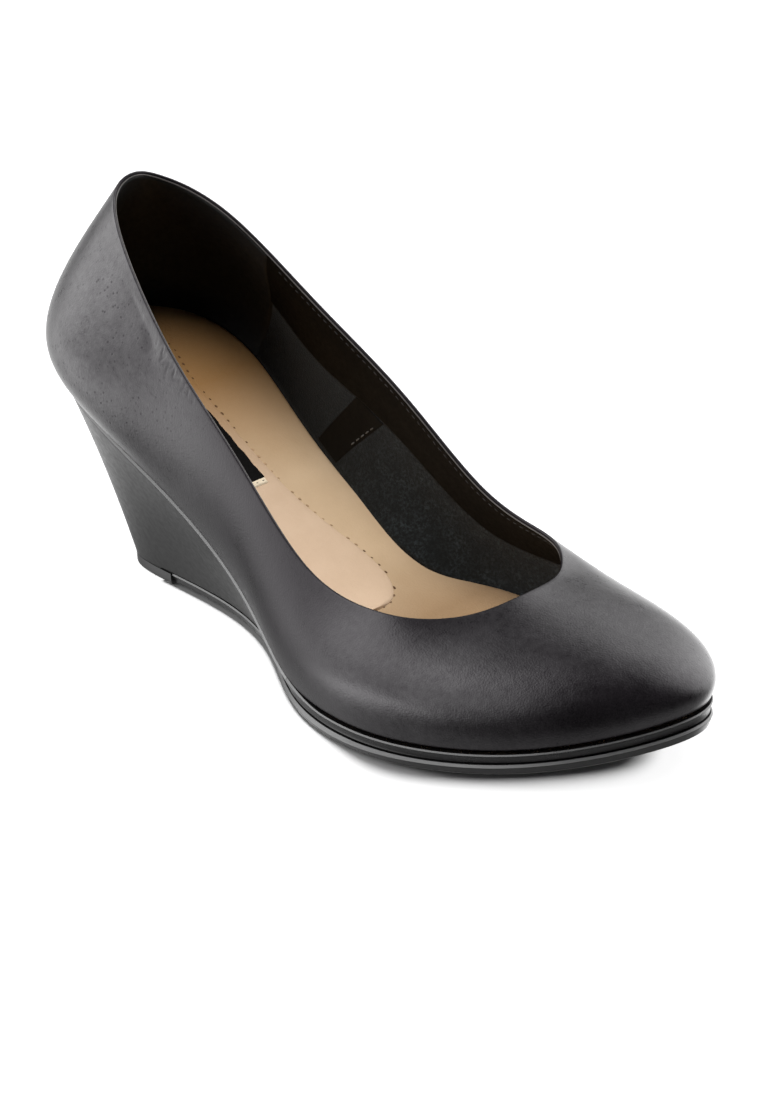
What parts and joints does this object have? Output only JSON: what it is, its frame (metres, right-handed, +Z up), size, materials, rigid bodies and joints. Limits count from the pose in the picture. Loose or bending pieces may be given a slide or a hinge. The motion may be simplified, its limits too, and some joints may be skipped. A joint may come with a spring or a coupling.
{
  "type": "wedge court shoe",
  "caption": "Black leather closed-toe wedge court shoe for the right foot, with tan insole, covered wedge and thin rubber sole.",
  "frame": {"origin": "on the floor, under the middle of the shoe's bounding box", "axes": "+X from heel to toe, +Y to the wearer's left (the big-toe side of this right shoe), +Z up from the floor"},
  "size_m": [0.2388, 0.0878, 0.1228],
  "materials": {
    "upper_leather": "smooth black leather, satin",
    "insole_sock": "smooth tan sock, matt",
    "wedge_cover": "smooth black cover, satin",
    "platform_strip": "black moulded strip, satin",
    "outsole_rubber": "black rubber, semi-matt",
    "lift_rubber": "black rubber, matt"
  },
  "bodies": {
    "root": {"upper": "upper_leather", "insole": "insole_sock", "wedge": "wedge_cover", "platform": "platform_strip", "outsole": "outsole_rubber", "heel_lift": "lift_rubber"}
  },
  "joints": []
}
